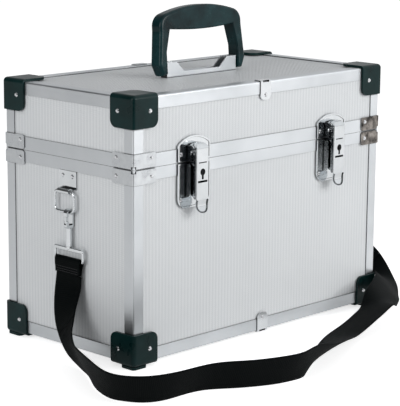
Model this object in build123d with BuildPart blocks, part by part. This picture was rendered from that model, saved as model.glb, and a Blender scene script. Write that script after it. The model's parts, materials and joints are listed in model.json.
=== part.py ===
from build123d import *
import os

os.makedirs("parts", exist_ok=True)

# Carrying case: panels held in slotted aluminium edge extrusions, a hinged lid, two key latches,
# a folding handle and a shoulder strap on two snap hooks. Millimetres, +Z up, front towards -Y.
# The origin is the middle of the floor panel's underside.

# ---------------------------------------------------------------- case
width = 430.0
depth = 220.0
base_height = 224.0
lid_height = 81.0
panel = 5.0
seam_gap = 0.4

# ---------------------------------------------------------------- edge extrusions
flange = 1.5
flange_width = 15.0
edge_radius = 2.0
lip = 1.2
lip_width = 13.0
slot_clearance = 0.3
frame_joint = 0.3

# ---------------------------------------------------------------- seam rims, tongue and groove
base_rim_height = 14.0
lid_rim_height = 15.6
rim_cap = 3.0
groove_depth = 3.2
tongue_height = 2.5
tongue_thickness = 2.0

# ---------------------------------------------------------------- corner protectors and their feet
corner_wing = 35.0
corner_wall = 3.0
corner_round = 5.0
wing_round = 9.0
foot_size = 22.0
foot_height = 3.0
foot_round = 4.0
corner_rivet_across = 23.0
corner_rivet_up = 16.0

# ---------------------------------------------------------------- rivets
rivet_head = 2.6
rivet_dome = 1.1
rivet_top = 1.5
rivet_shank = 1.5
rivet_clearance = 0.05

# ---------------------------------------------------------------- seam brackets and joint clips
bracket_leg = 34.0
bracket_height = 16.5
bracket_sheet = 1.2
bracket_setback = 0.8
bracket_round = 3.0
bracket_notch = 3.0
bracket_rivet_across = 27.0
lid_bracket_rivet_up = 11.0
base_bracket_rivet_down = 8.0
clip_width = 18.0
clip_drop = 22.0
clip_over = 9.0
clip_sheet = 1.2
clip_slot = 11.0
clip_slot_height = 2.2
clip_rivet_drop = 16.0

# ---------------------------------------------------------------- rear hinges
hinge_inset = 90.0
hinge_length = 44.0
hinge_sheet = 1.5
hinge_offset = 4.0
knuckle_radius = 3.2
hinge_pin_radius = 1.5
pin_running = 0.05
lid_knuckle = 20.0
knuckle_gap = 0.3
leaf_height = 13.0
leaf_relief = 4.0

# ---------------------------------------------------------------- latches
latch_inset = 94.0
latch_plate_width = 52.0
latch_sheet = 1.2
latch_setback = 1.0
lid_plate_shoulder = 20.0
lid_plate_height = 29.5
base_plate_height = 53.0
plate_round = 12.0
plate_border = 1.6
plate_border_rise = 0.7
hasp_width = 20.0
hasp_wall = 1.2
hasp_radius = 7.0
hasp_running = 0.3
hasp_pivot_up = 15.0
hasp_wall_end = 42.0
hasp_rear_gap = 2.0
hasp_slit_drop = 22.0
hasp_tab_width = 18.0
hasp_tab_drop = 57.0
hasp_tab_sheet = 1.5
hasp_tab_round = 8.0
ear_radius = 4.2
ear_sheet = 1.5
latch_pin_radius = 1.5
latch_pin_head = 2.4
latch_pin_head_height = 0.8
cheek_spread = 12.4
cheek_sheet = 1.2
cheek_rise = 7.2
cheek_top = 2.0
cheek_bottom = 40.0
keyhole_radius = 4.0
keyhole_drop = 11.0
keyhole_tail = 8.5
keyhole_tail_width = 3.0
lock_radius = 5.6
lock_face_gap = 0.3
lock_shaft_radius = 3.0
lock_bridge = 1.4
lock_bridge_gap = 4.4
lock_bridge_height = 14.0
lock_shoulder_gap = 0.3
key_slot_width = 1.4
key_slot_length = 6.0
key_slot_depth = 2.5
cam_sheet = 1.5
cam_gap = 1.0
cam_width = 4.0
cam_reach = 6.8
keeper_gap = 0.3
keeper_sheet = 1.2
keeper_post = 1.0
keeper_overlap = 1.8
keeper_clearance = 0.6
keeper_length = 6.0
latch_rivet_across = 20.5
lid_plate_rivet_up = 9.0
base_plate_rivet_down = 43.0

# ---------------------------------------------------------------- handle
handle_length = 149.0
handle_taper = 4.0
handle_lean = 4.5
handle_height = 85.0
handle_shoulder_drop = 29.0
handle_rise = 12.0
handle_shoulder_round = 16.0
handle_depth = 18.0
handle_leg = 13.0
handle_grip = 27.0
handle_pivot_up = 11.0
handle_foot_gap = 2.5
handle_round = 6.0
handle_softness = 4.0
handle_leg_gap = 1.5
handle_bracket_depth = 11.0
handle_bracket_end = 18.5
handle_bracket_middle = 6.3
handle_bracket_step = 16.0
handle_bracket_slope = 13.5
handle_bracket_sheet = 1.5
handle_pin_radius = 3.0
handle_pin_bite = 7.0
handle_pin_head = 1.5
handle_pin_head_radius = 3.8

# ---------------------------------------------------------------- strap plates, rings and snap hooks
strap_plate_width = 29.0
strap_plate_height = 21.0
strap_plate_sheet = 1.5
strap_plate_below_rim = 0.5
strap_plate_rivet_across = 8.0
strap_plate_rivet_down = 6.0
ring_offset = 6.5
ring_wire = 1.75
ring_loose = 0.3
ring_width = 36.0
ring_height = 27.5
ring_corner = 6.0
roll_sheet = 1.4
roll_width = 19.0
hook_slot = 6.0
hook_arm = 2.5
hook_thickness = 6.0
hook_slot_length = 14.0
hook_nose = 4.6
hook_taper = 2.0
hook_slide = 7.0
gate_gap = 0.3
gate_sheet = 2.0
gate_pin_radius = 0.9
gate_width = 3.6
gate_root = 10.0
gate_pivot = 12.3
hook_neck = 3.5
barrel_radius = 3.6
barrel_length = 21.5
swivel_gap = 0.3
swivel_collar_radius = 3.2
swivel_collar = 2.0
swivel_stem_radius = 1.6
swivel_stem = 6.0
eye_wire = 1.6
eye_height = 16.5
eye_corner = 2.0

# ---------------------------------------------------------------- strap
strap_width = 43.0
strap_thickness = 2.2
strap_loop_length = 16.0
strap_stitch = 10.0
strap_edge_gap = 0.5
strap_joint = 0.3

# Working values
half_w = width / 2
half_d = depth / 2
hinge_spread = half_w - hinge_inset
latch_spread = half_w - latch_inset
bottom = -flange
seam = bottom + base_height
lid_bottom = seam + seam_gap
top = seam + lid_height
core = flange + panel + lip
panel_inset = core + slot_clearance
floor_level = bottom - corner_wall - foot_height
corner_places = ((-1, -1, 0), (1, -1, 90), (1, 1, 180), (-1, 1, 270))
sides = ((-1, "left"), (1, "right"))
low_corner = (Align.MIN, Align.MIN)
low_box = (Align.MIN, Align.MIN, Align.MIN)


def save(part, name):
    """Label a finished piece and write it out under the same name."""
    part.label = name
    export_step(part, f"parts/{name}.step")


# ================================================================ extrusion sections
# u runs in from the outer face, v away from the sharp edge.
with BuildSketch() as edge_section:
    Rectangle(flange_width, flange, align=low_corner)
    Rectangle(flange, flange_width, align=low_corner)
    Rectangle(core, core, align=low_corner)
    with Locations((core, core - lip)):
        Rectangle(lip_width - core, lip, align=low_corner)
    with Locations((core - lip, core)):
        Rectangle(lip, lip_width - core, align=low_corner)
    fillet(edge_section.vertices().group_by(Axis.X)[0].sort_by(Axis.Y)[0], edge_radius)

with BuildSketch() as base_rim_section:
    Rectangle(flange, base_rim_height, align=low_corner)
    Rectangle(core, rim_cap, align=low_corner)
    with Locations((core - lip, 0)):
        Rectangle(lip, lip_width, align=low_corner)
    with Locations((flange + panel / 2, 0)):
        Rectangle(tongue_thickness, 2 * tongue_height)

with BuildSketch() as lid_rim_section:
    Rectangle(flange, lid_rim_height, align=low_corner)
    with Locations((0, groove_depth)):
        Rectangle(core, rim_cap, align=low_corner)
    with Locations((core - lip, 0)):
        Rectangle(lip, lip_width, align=low_corner)


def section_plane(x, z, up):
    """Plane across the front edge, u pointing in and v pointing up (or down)."""
    return Plane(origin=(x, -half_d, z), x_dir=(0, 1, 0), z_dir=(up, 0, 0))


# ================================================================ frames: two bent halves at top and bottom
for side, side_name in sides:
    for z, up, frame_name in ((bottom, 1, "base_bottom_frame"), (top, -1, "lid_top_frame")):
        with BuildPart() as frame_half:
            with BuildLine():
                Polyline(
                    (side * frame_joint / 2, -half_d, z),
                    (side * half_w, -half_d, z),
                    (side * half_w, half_d, z),
                    (side * frame_joint / 2, half_d, z),
                )
            with BuildSketch(section_plane(side * frame_joint / 2, z, up)):
                add(edge_section.sketch)
            sweep(transition=Transition.RIGHT)
        save(frame_half.part, f"{frame_name}_{side_name}")

# ================================================================ seam rims
for z, up, section, rim_name in (
    (seam, -1, base_rim_section, "base_rim"),
    (lid_bottom, 1, lid_rim_section, "lid_rim"),
):
    with BuildPart() as rim:
        with BuildLine():
            Polyline(
                (0, -half_d, z),
                (half_w, -half_d, z),
                (half_w, half_d, z),
                (-half_w, half_d, z),
                (-half_w, -half_d, z),
                close=True,
            )
        with BuildSketch(section_plane(0, z, up)):
            add(section.sketch)
        sweep(transition=Transition.RIGHT)
    save(rim.part, rim_name)

# ================================================================ corner posts
for low, high, post_name in (
    (bottom + flange_width, seam - base_rim_height, "base_corner_posts"),
    (lid_bottom + lid_rim_height, top - flange_width, "lid_corner_posts"),
):
    with BuildPart() as posts:
        with BuildSketch(Plane.XY.offset(low)):
            with Locations(
                *[Location((x * half_w, y * half_d, 0), (0, 0, turn)) for x, y, turn in corner_places]
            ):
                add(edge_section.sketch)
        extrude(amount=high - low)
    save(posts.part, post_name)

# ================================================================ panels
panel_width = width - 2 * panel_inset
panel_depth = depth - 2 * panel_inset
wall_out = panel / 2 + flange
for low, high, body in (
    (bottom + panel_inset, seam - rim_cap - slot_clearance, "base"),
    (lid_bottom + groove_depth + rim_cap + slot_clearance, top - panel_inset, "lid"),
):
    middle = (low + high) / 2
    for side, name in ((-1, "front"), (1, "back")):
        with BuildPart() as wall:
            with Locations((0, side * (half_d - wall_out), middle)):
                Box(panel_width, panel, high - low)
        save(wall.part, f"{body}_{name}_panel")
    for side, name in sides:
        with BuildPart() as wall:
            with Locations((side * (half_w - wall_out), 0, middle)):
                Box(panel, panel_depth, high - low)
        save(wall.part, f"{body}_{name}_panel")

for middle, name in ((panel / 2, "base_floor_panel"), (top - wall_out, "lid_top_panel")):
    with BuildPart() as sheet:
        with Locations((0, 0, middle)):
            Box(panel_width, panel_depth, panel)
    save(sheet.part, name)

# ================================================================ corner protectors
# One is drawn at the low corner, its three wings lying on the extrusions, and turned to each corner.
wing_edge = corner_wing + corner_wall
with BuildPart() as protector:
    with Locations((-corner_wall, -corner_wall, -corner_wall)):
        Box(wing_edge, wing_edge, wing_edge, align=low_box)
    outer_edges = [
        protector.edges().filter_by(axis).group_by(first)[0].sort_by(second)[0]
        for axis, first, second in (
            (Axis.X, Axis.Y, Axis.Z),
            (Axis.Y, Axis.X, Axis.Z),
            (Axis.Z, Axis.X, Axis.Y),
        )
    ]
    fillet(outer_edges, corner_round)
    Box(wing_edge, wing_edge, wing_edge, align=low_box, mode=Mode.SUBTRACT)
    free_edges = [
        protector.edges().filter_by(axis).group_by(first)[-1].sort_by(second)[-1]
        for axis, first, second in (
            (Axis.X, Axis.Y, Axis.Z),
            (Axis.Y, Axis.X, Axis.Z),
            (Axis.Z, Axis.X, Axis.Y),
        )
    ]
    fillet(free_edges, wing_round)
    with Locations(
        Location((corner_rivet_across, 0, corner_rivet_up), (90, 0, 0)),
        Location((0, corner_rivet_across, corner_rivet_up), (0, -90, 0)),
    ):
        Cylinder(rivet_shank + rivet_clearance, 4 * corner_wall, mode=Mode.SUBTRACT)

with BuildPart() as protector_with_foot:
    add(protector.part)
    with BuildSketch(Plane.XY.offset(-corner_wall)):
        with Locations((-edge_radius / 2, -edge_radius / 2)):
            RectangleRounded(foot_size, foot_size, foot_round, align=low_corner)
    extrude(amount=-foot_height)

upturned = Location((0, 0, 0), (180, 0, 0))
front_back = {-1: "front", 1: "back"}
left_right = {-1: "left", 1: "right"}
for x, y, turn in corner_places:
    place = f"{front_back[y]}_{left_right[x]}"
    with BuildPart() as base_corner:
        with Locations(Location((x * half_w, y * half_d, bottom), (0, 0, turn))):
            add(protector_with_foot.part)
    save(base_corner.part, f"base_corner_{place}")
    with BuildPart() as lid_corner:
        # Upside down, the wings along X and Y change places.
        with Locations(Location((x * half_w, y * half_d, top), (0, 0, turn + 90)) * upturned):
            add(protector.part)
    save(lid_corner.part, f"lid_corner_{place}")

# ================================================================ rivets and the sheet-metal trim of the edges
facing = {"front": (90, 0, 0), "back": (-90, 0, 0), "left": (0, -90, 0), "right": (0, 90, 0), "top": (0, 0, 0)}

with BuildPart() as rivet_button:
    Cone(rivet_head, rivet_top, rivet_dome, align=(Align.CENTER, Align.CENTER, Align.MIN))


def rivet(x, y, z, side_name, sheet):
    """Domed rivet head on a face, with its shank down through the sheet it holds."""
    with Locations(Location((x, y, z), facing[side_name])):
        add(rivet_button.part)
        Cylinder(rivet_shank, sheet, align=(Align.CENTER, Align.CENTER, Align.MAX))


def rivet_hole(x, y, z, side_name, sheet):
    """Hole for such a rivet."""
    with Locations(Location((x, y, z), facing[side_name])):
        Cylinder(rivet_shank + rivet_clearance, 2 * sheet, mode=Mode.SUBTRACT)


def seam_bracket(rivet_up):
    """Bent corner bracket in the low corner, notched where the bend meets the seam."""
    with BuildPart() as bracket:
        with BuildSketch():
            with Locations((-bracket_sheet, -bracket_sheet)):
                Rectangle(bracket_leg + bracket_sheet, bracket_leg + bracket_sheet, align=low_corner)
            fillet(vertices().group_by(Axis.X)[0].sort_by(Axis.Y)[0], edge_radius)
            Rectangle(bracket_leg, bracket_leg, align=low_corner, mode=Mode.SUBTRACT)
        extrude(amount=bracket_height)
        ends = bracket.edges().filter_by(Axis.Y).group_by(Axis.X)[-1]
        ends += bracket.edges().filter_by(Axis.X).group_by(Axis.Y)[-1]
        fillet(ends, bracket_round)
        with Locations((-bracket_sheet, -bracket_sheet, 0)):
            Box(
                bracket_notch + bracket_sheet,
                bracket_notch + bracket_sheet,
                bracket_notch,
                align=low_box,
                mode=Mode.SUBTRACT,
            )
        rivet_hole(bracket_rivet_across, 0, rivet_up, "front", bracket_sheet)
        rivet_hole(0, bracket_rivet_across, rivet_up, "left", bracket_sheet)
    return bracket.part


lid_bracket = seam_bracket(lid_bracket_rivet_up)
base_bracket = seam_bracket(base_bracket_rivet_down)
with BuildPart() as lid_seam_brackets:
    with Locations(
        *[
            Location((x * half_w, y * half_d, lid_bottom + bracket_setback), (0, 0, turn))
            for x, y, turn in corner_places
        ]
    ):
        add(lid_bracket)
save(lid_seam_brackets.part, "lid_seam_brackets")

with BuildPart() as base_seam_brackets:
    with Locations(
        *[
            Location((x * half_w, y * half_d, seam - bracket_setback), (0, 0, turn + 90)) * upturned
            for x, y, turn in corner_places
        ]
    ):
        add(base_bracket)
save(base_seam_brackets.part, "base_seam_brackets")

# Clip over the joint of the two frame halves: front face at y = 0, edge at z = 0, leg hanging down.
with BuildPart() as clip:
    with Locations((0, -clip_sheet, clip_sheet)):
        Box(clip_width, clip_sheet, clip_drop + clip_sheet, align=(Align.CENTER, Align.MIN, Align.MAX))
        Box(clip_width, clip_over + clip_sheet, clip_sheet, align=(Align.CENTER, Align.MIN, Align.MAX))
    fillet(clip.edges().filter_by(Axis.Y).group_by(Axis.Z)[0], clip_width / 3)
    fillet(clip.edges().filter_by(Axis.X).group_by(Axis.Y)[0].sort_by(Axis.Z)[-1], clip_sheet)
    Box(clip_slot, 3 * clip_sheet, clip_slot_height, mode=Mode.SUBTRACT)
    rivet_hole(0, 0, -clip_rivet_drop, "front", clip_sheet)

with BuildPart() as lid_joint_clips:
    with Locations(Location((0, -half_d, top)), Location((0, half_d, top), (0, 0, 180))):
        add(clip.part)
save(lid_joint_clips.part, "lid_joint_clips")

with BuildPart() as base_joint_clips:
    with Locations(Location((0, -half_d, bottom), (0, 180, 0)), Location((0, half_d, bottom), (180, 0, 0))):
        add(clip.part)
save(base_joint_clips.part, "base_joint_clips")

# ================================================================ rear hinges
hinge_y = half_d + hinge_offset
base_knuckle = (hinge_length - lid_knuckle) / 2 - knuckle_gap


def hinge_knuckles(z_near, z_far, spans, bore):
    """Leaf on the back face between two heights, with rolled knuckles over the given X spans."""
    outward = 1 if z_far > z_near else -1
    for x in (-hinge_spread, hinge_spread):
        with Locations((x, half_d + hinge_sheet / 2, (z_near + z_far) / 2)):
            Box(hinge_length, hinge_sheet, abs(z_far - z_near))
        for start, end in spans:
            with Locations((x + (start + end) / 2, half_d + hinge_sheet / 2, (z_near + seam) / 2)):
                Box(end - start, hinge_sheet, abs(z_near - seam))
            with BuildSketch(Plane.YZ.offset(x + start)) as knuckle:
                with Locations((hinge_y, seam)):
                    Circle(knuckle_radius)
            extrude(knuckle.sketch, amount=end - start)
        with BuildSketch(Plane.YZ.offset(x - hinge_length / 2)) as hole:
            with Locations((hinge_y, seam)):
                Circle(bore)
        extrude(hole.sketch, amount=hinge_length, mode=Mode.SUBTRACT)
        for across in (-1, 1):
            rivet_hole(
                x + across * hinge_length / 3,
                half_d,
                z_near + outward * (abs(z_far - z_near) / 2),
                "back",
                hinge_sheet,
            )


with BuildPart() as hinge_base_leaves:
    hinge_knuckles(
        seam - leaf_relief,
        seam - leaf_height,
        ((-hinge_length / 2, -hinge_length / 2 + base_knuckle), (hinge_length / 2 - base_knuckle, hinge_length / 2)),
        hinge_pin_radius,
    )
save(hinge_base_leaves.part, "hinge_base_leaves")

with BuildPart() as hinge_lid_leaves:
    hinge_knuckles(
        lid_bottom + leaf_relief,
        lid_bottom + leaf_height,
        ((-lid_knuckle / 2, lid_knuckle / 2),),
        hinge_pin_radius + pin_running,
    )
save(hinge_lid_leaves.part, "hinge_lid_leaves")

with BuildPart() as hinge_pins:
    with Locations((-hinge_spread, hinge_y, seam), (hinge_spread, hinge_y, seam)):
        Cylinder(hinge_pin_radius, hinge_length, rotation=(0, 90, 0))
save(hinge_pins.part, "hinge_pins")

# ================================================================ latches
plate_face = half_d + latch_sheet
pivot_y = -(plate_face + hasp_running + hasp_radius)
pivot_z = lid_bottom + hasp_pivot_up
hasp_front = pivot_y - hasp_radius
hasp_rear = -(plate_face + hasp_rear_gap)
hasp_top = pivot_z + hasp_radius
keyhole_z = seam - keyhole_drop
front_face = Plane.XZ.offset(half_d)
cam_face = plate_face + cam_gap
ledge_face = cam_face + cam_sheet + keeper_gap
bridge_face = plate_face + lock_bridge_gap


for side, side_name in sides:
    x = side * latch_spread

    with BuildPart() as hinge_plate:
        with BuildSketch(front_face) as outline:
            with BuildLine():
                low = lid_bottom + latch_setback
                shoulder = lid_bottom + lid_plate_shoulder
                crown = ThreePointArc(
                    (x - latch_plate_width / 2, shoulder),
                    (x, lid_bottom + lid_plate_height),
                    (x + latch_plate_width / 2, shoulder),
                )
                Polyline(
                    crown @ 1, (x + latch_plate_width / 2, low), (x - latch_plate_width / 2, low), crown @ 0
                )
            make_face()
            fillet(outline.vertices().group_by(Axis.Y)[1], plate_round / 3)
        extrude(amount=latch_sheet)
        with BuildSketch(front_face.offset(latch_sheet)) as border:
            add(outline.sketch_local)
            offset(outline.sketch_local, amount=-plate_border, mode=Mode.SUBTRACT)
        extrude(amount=plate_border_rise)
        for ear in (-1, 1):
            with BuildSketch(Plane.YZ.offset(x + ear * (hasp_width / 2 + hasp_running))) as ear_side:
                with Locations((pivot_y, pivot_z)):
                    Circle(ear_radius)
                    Rectangle(-half_d - pivot_y, 2 * ear_radius, align=(Align.MIN, Align.CENTER))
                with Locations((-half_d, low)):
                    Rectangle(latch_sheet + cheek_rise, pivot_z - low, align=(Align.MAX, Align.MIN))
                with Locations((pivot_y, pivot_z)):
                    Circle(latch_pin_radius, mode=Mode.SUBTRACT)
            extrude(amount=ear * ear_sheet)
        for across in (-1, 1):
            rivet_hole(
                x + across * latch_rivet_across, -half_d, lid_bottom + lid_plate_rivet_up, "front", latch_sheet
            )
    save(hinge_plate.part, f"latch_hinge_plate_{side_name}")

    with BuildPart() as lock_plate:
        with BuildSketch(front_face) as outline:
            with Locations((x, seam - latch_setback)):
                Rectangle(
                    latch_plate_width, base_plate_height - latch_setback, align=(Align.CENTER, Align.MAX)
                )
            fillet(outline.vertices().group_by(Axis.Y)[0], plate_round)
        extrude(amount=latch_sheet)
        with BuildSketch(front_face.offset(latch_sheet)) as border:
            add(outline.sketch_local)
            offset(outline.sketch_local, amount=-plate_border, mode=Mode.SUBTRACT)
        extrude(amount=plate_border_rise)
        for cheek in (-1, 1):
            with BuildSketch(Plane.YZ.offset(x + cheek * cheek_spread)) as cheek_side:
                with Locations((-half_d, seam - cheek_top)):
                    Rectangle(latch_sheet + cheek_rise, cheek_bottom - cheek_top, align=(Align.MAX, Align.MAX))
                fillet(cheek_side.vertices().group_by(Axis.X)[0], cheek_rise / 2)
            extrude(amount=cheek * cheek_sheet)
        with Locations((x + cam_reach + keeper_clearance, -half_d, keyhole_z)):
            Box(
                keeper_post,
                ledge_face + keeper_sheet - half_d,
                keeper_length,
                align=(Align.MIN, Align.MAX, Align.CENTER),
            )
        with Locations((x + cam_reach - keeper_overlap, -ledge_face, keyhole_z)):
            Box(
                keeper_overlap + keeper_clearance + keeper_post,
                keeper_sheet,
                keeper_length,
                align=(Align.MIN, Align.MAX, Align.CENTER),
            )
        for across in (-1, 1):
            rivet_hole(
                x + across * latch_rivet_across, -half_d, seam - base_plate_rivet_down, "front", latch_sheet
            )
    save(lock_plate.part, f"lock_plate_{side_name}")

    # Hasp: a pressed channel round the pivot, its front running down into a curled finger tab.
    with BuildPart() as hasp_hollow:
        with BuildSketch(Plane.YZ.offset(x - hasp_width / 2 + hasp_wall)) as hollow_side:
            with BuildLine():
                crown = ThreePointArc(
                    (pivot_y + hasp_radius - hasp_wall, pivot_z),
                    (pivot_y, hasp_top - hasp_wall),
                    (hasp_front + hasp_wall, pivot_z),
                )
                Polyline(
                    crown @ 1,
                    (hasp_front + hasp_wall, seam - hasp_wall_end + 2 * hasp_wall),
                    (-half_d, seam - hasp_wall_end + 2 * hasp_wall),
                    (-half_d, pivot_z),
                    crown @ 0,
                )
            make_face()
        extrude(amount=hasp_width - 2 * hasp_wall)
        with BuildSketch(front_face) as hollow_front:
            with Locations((x, hasp_top - hasp_wall)):
                Rectangle(hasp_width, hasp_top - hasp_wall, align=(Align.CENTER, Align.MAX))
            fillet(hollow_front.vertices().group_by(Axis.Y)[-1], hasp_radius)
        extrude(amount=4 * hasp_radius, mode=Mode.INTERSECT)

    with BuildPart() as hasp:
        with BuildSketch(Plane.YZ.offset(x - hasp_width / 2)) as channel_side:
            with BuildLine():
                crown = ThreePointArc(
                    (pivot_y + hasp_radius, pivot_z), (pivot_y, hasp_top), (hasp_front, pivot_z)
                )
                Polyline(
                    crown @ 1,
                    (hasp_front, seam - hasp_wall_end),
                    (hasp_front + hasp_radius / 2, seam - hasp_wall_end),
                    (hasp_rear, seam - hasp_wall_end + hasp_radius),
                    (hasp_rear, pivot_z - hasp_radius),
                    crown @ 0,
                )
            make_face()
        extrude(amount=hasp_width)
        with BuildSketch(Plane.XY.offset(seam - hasp_wall_end)) as plan:
            with Locations((x, hasp_front)):
                Rectangle(hasp_width, 2 * hasp_radius, align=(Align.CENTER, Align.MIN))
            fillet(plan.vertices().group_by(Axis.Y)[0], hasp_wall)
        extrude(amount=2 * hasp_wall_end, mode=Mode.INTERSECT)
        with BuildSketch(Plane.YZ.offset(x - hasp_tab_width / 2)) as tab_side:
            with BuildLine():
                tab_top = seam - hasp_wall_end + hasp_radius
                bend = seam - hasp_wall_end - hasp_wall
                end = seam - hasp_tab_drop
                outer_curl = ThreePointArc(
                    (hasp_front, bend), (hasp_front + hasp_wall, (bend + end) / 2), (hasp_front - hasp_wall, end)
                )
                inner_curl = ThreePointArc(
                    (hasp_front - hasp_wall + hasp_tab_sheet, end - hasp_wall / 3),
                    (hasp_front + hasp_wall + hasp_tab_sheet, (bend + end) / 2),
                    (hasp_front + hasp_tab_sheet, bend),
                )
                Line(outer_curl @ 1, inner_curl @ 0)
                Polyline(
                    inner_curl @ 1,
                    (hasp_front + hasp_tab_sheet, tab_top),
                    (hasp_front, tab_top),
                    outer_curl @ 0,
                )
            make_face()
        extrude(amount=hasp_tab_width)
        with BuildSketch(front_face) as hasp_outline:
            with Locations((x, seam - hasp_tab_drop - hasp_wall)):
                Rectangle(hasp_tab_width, hasp_tab_drop, align=(Align.CENTER, Align.MIN))
            fillet(hasp_outline.vertices().group_by(Axis.Y)[0], hasp_tab_round)
            with Locations((x, hasp_top)):
                Rectangle(hasp_width, hasp_top - seam + hasp_wall_end, align=(Align.CENTER, Align.MAX))
            fillet(hasp_outline.vertices().group_by(Axis.Y)[-1], hasp_radius)
        extrude(amount=4 * hasp_radius, mode=Mode.INTERSECT)
        add(hasp_hollow.part, mode=Mode.SUBTRACT)
        with Locations((x, -bridge_face, keyhole_z)):
            Box(
                hasp_width - hasp_wall,
                lock_bridge,
                lock_bridge_height,
                align=(Align.CENTER, Align.MAX, Align.CENTER),
            )
        # Pivot bore, lock bore in the bridge, keyhole and the two slits.
        with Locations((x, pivot_y, pivot_z)):
            Cylinder(latch_pin_radius + pin_running, hasp_width, rotation=(0, 90, 0), mode=Mode.SUBTRACT)
        with Locations((x, -bridge_face, keyhole_z)):
            Cylinder(
                lock_shaft_radius + pin_running, 3 * lock_bridge, rotation=(90, 0, 0), mode=Mode.SUBTRACT
            )
        with BuildSketch(Plane.XZ.offset(-hasp_front)) as keyhole:
            with Locations((x, keyhole_z)):
                Circle(keyhole_radius)
                Rectangle(keyhole_tail_width, keyhole_tail, align=(Align.CENTER, Align.MAX))
        extrude(amount=-2 * hasp_wall, mode=Mode.SUBTRACT)
        with Locations((x, hasp_front, seam - hasp_slit_drop)):
            Box(hasp_width - 4 * hasp_wall, 3 * hasp_wall, 2 * hasp_wall, mode=Mode.SUBTRACT)
        with Locations((x, hasp_front, seam)):
            Box(hasp_width - 6 * hasp_wall, 3 * hasp_wall, hasp_wall, mode=Mode.SUBTRACT)
    save(hasp.part, f"hasp_{side_name}")

    with BuildPart() as lock_cylinder:
        lock_front = -hasp_front - hasp_wall - lock_face_gap
        lock_back = bridge_face + lock_bridge + lock_shoulder_gap
        with Locations(Location((x, -lock_back, keyhole_z), facing["front"])):
            Cylinder(lock_radius, lock_front - lock_back, align=(Align.CENTER, Align.CENTER, Align.MIN))
        with Locations(Location((x, -cam_face, keyhole_z), facing["front"])):
            Cylinder(lock_shaft_radius, lock_front - cam_face, align=(Align.CENTER, Align.CENTER, Align.MIN))
            Cylinder(cam_width * 0.9, cam_sheet, align=(Align.CENTER, Align.CENTER, Align.MIN))
        with Locations((x, -cam_face, keyhole_z)):
            Box(cam_width, cam_sheet, cam_reach, align=(Align.CENTER, Align.MAX, Align.MAX))
        with Locations((x, -lock_front, keyhole_z)):
            Box(key_slot_width, 2 * key_slot_depth, key_slot_length, mode=Mode.SUBTRACT)
    save(lock_cylinder.part, f"lock_cylinder_{side_name}")

with BuildPart() as latch_pins:
    pin_end = hasp_width / 2 + hasp_running + ear_sheet
    for side, side_name in sides:
        with Locations((side * latch_spread, pivot_y, pivot_z)):
            Cylinder(latch_pin_radius, 2 * pin_end, rotation=(0, 90, 0))
        for end in (-1, 1):
            with Locations((side * latch_spread + end * (pin_end + latch_pin_head_height / 2), pivot_y, pivot_z)):
                Cylinder(latch_pin_head, latch_pin_head_height, rotation=(0, 90, 0))
save(latch_pins.part, "latch_pins")

# ================================================================ handle
lid_face = top - flange
handle_pivot = lid_face + handle_pivot_up
leg_inner = handle_length / 2 - handle_leg
bracket_end = leg_inner - handle_leg_gap

top_half = handle_length / 2 - handle_taper
palm_half = leg_inner - handle_taper - handle_round / 2
grip_middle = lid_face + handle_height - handle_grip / 2
with BuildPart() as handle_grip_part:
    with BuildSketch(Plane.XZ) as handle_side:
        with BuildLine():
            foot = lid_face + handle_foot_gap
            arch = ThreePointArc(
                (-top_half, lid_face + handle_height - handle_rise),
                (0, lid_face + handle_height),
                (top_half, lid_face + handle_height - handle_rise),
            )
            Polyline(
                arch @ 1,
                (top_half, lid_face + handle_height - handle_shoulder_drop),
                (handle_length / 2, foot + handle_leg),
                (handle_length / 2 - handle_round, foot),
                (-handle_length / 2 + handle_round, foot),
                (-handle_length / 2, foot + handle_leg),
                (-top_half, lid_face + handle_height - handle_shoulder_drop),
                arch @ 0,
            )
        make_face()
        fillet(handle_side.vertices().group_by(Axis.Y)[-1], handle_shoulder_round)
        with BuildLine():
            under = lid_face + handle_height - handle_grip
            palm = ThreePointArc((-palm_half, under), (0, under - handle_round / 2), (palm_half, under))
            Polyline(
                palm @ 1,
                (leg_inner, under - handle_grip),
                (leg_inner, foot - 1),
                (-leg_inner, foot - 1),
                (-leg_inner, under - handle_grip),
                palm @ 0,
            )
        make_face(mode=Mode.SUBTRACT)
    extrude(amount=handle_depth / 2, both=True)
    for edge_round, outer in ((handle_softness, True), (handle_softness / 2, False)):
        long_edges = handle_grip_part.edges().filter_by(
            lambda edge: abs(edge.center().Y) > handle_depth / 3 and edge.center().Z > foot + 1
        )
        fillet(
            long_edges.filter_by(
                lambda edge: (abs(edge.center().X) > leg_inner or edge.center().Z > grip_middle) == outer
            ),
            edge_round,
        )
    with BuildSketch(Plane.YZ) as handle_end:
        with Locations((0, foot)):
            Rectangle(handle_depth, 2 * handle_height, align=(Align.CENTER, Align.MIN))
        fillet(handle_end.vertices().group_by(Axis.Y)[0], handle_round)
    extrude(amount=handle_length, both=True, mode=Mode.INTERSECT)
    for end in (-1, 1):
        with Locations((end * leg_inner, 0, handle_pivot)):
            Cylinder(
                handle_pin_radius + pin_running,
                2 * (handle_pin_bite + pin_running),
                rotation=(0, 90, 0),
                mode=Mode.SUBTRACT,
            )
# The grip stands a little back of upright on its pins.
pin_axis = Axis((0, 0, handle_pivot), (1, 0, 0))
save(handle_grip_part.part.rotate(pin_axis, -handle_lean), "handle_grip")

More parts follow.
